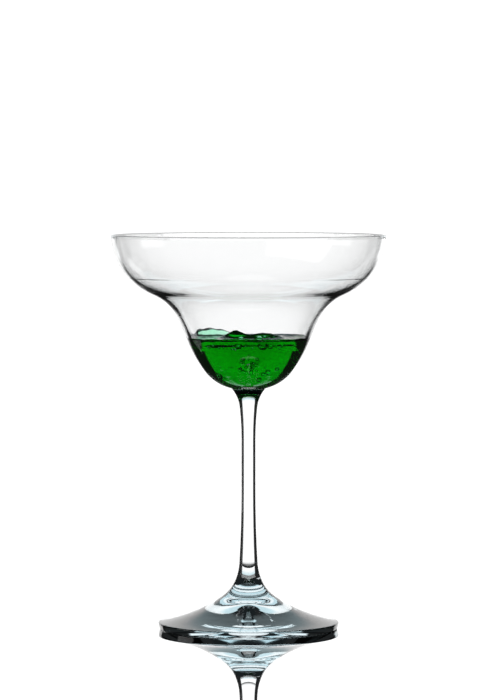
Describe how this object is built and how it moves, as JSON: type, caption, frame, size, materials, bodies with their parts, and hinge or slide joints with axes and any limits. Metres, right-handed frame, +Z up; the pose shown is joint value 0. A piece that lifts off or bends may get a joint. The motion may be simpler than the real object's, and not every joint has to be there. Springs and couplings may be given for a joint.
{
  "type": "margarita cocktail",
  "caption": "Clear stemmed margarita glass with a wide bowl over a small lower cup, part filled with a plain green drink.",
  "frame": {"origin": "on the table at the middle of the foot", "axes": "+Z up along the stem, the axis that everything is turned about; X and Y are level"},
  "size_m": [0.1174, 0.1174, 0.1685],
  "materials": {
    "clear_glass": "fire-polished clear soda-lime glass",
    "green_drink": "clear bright green liquid"
  },
  "bodies": {
    "root": {"glass": "clear_glass", "drink": "green_drink"}
  },
  "joints": []
}
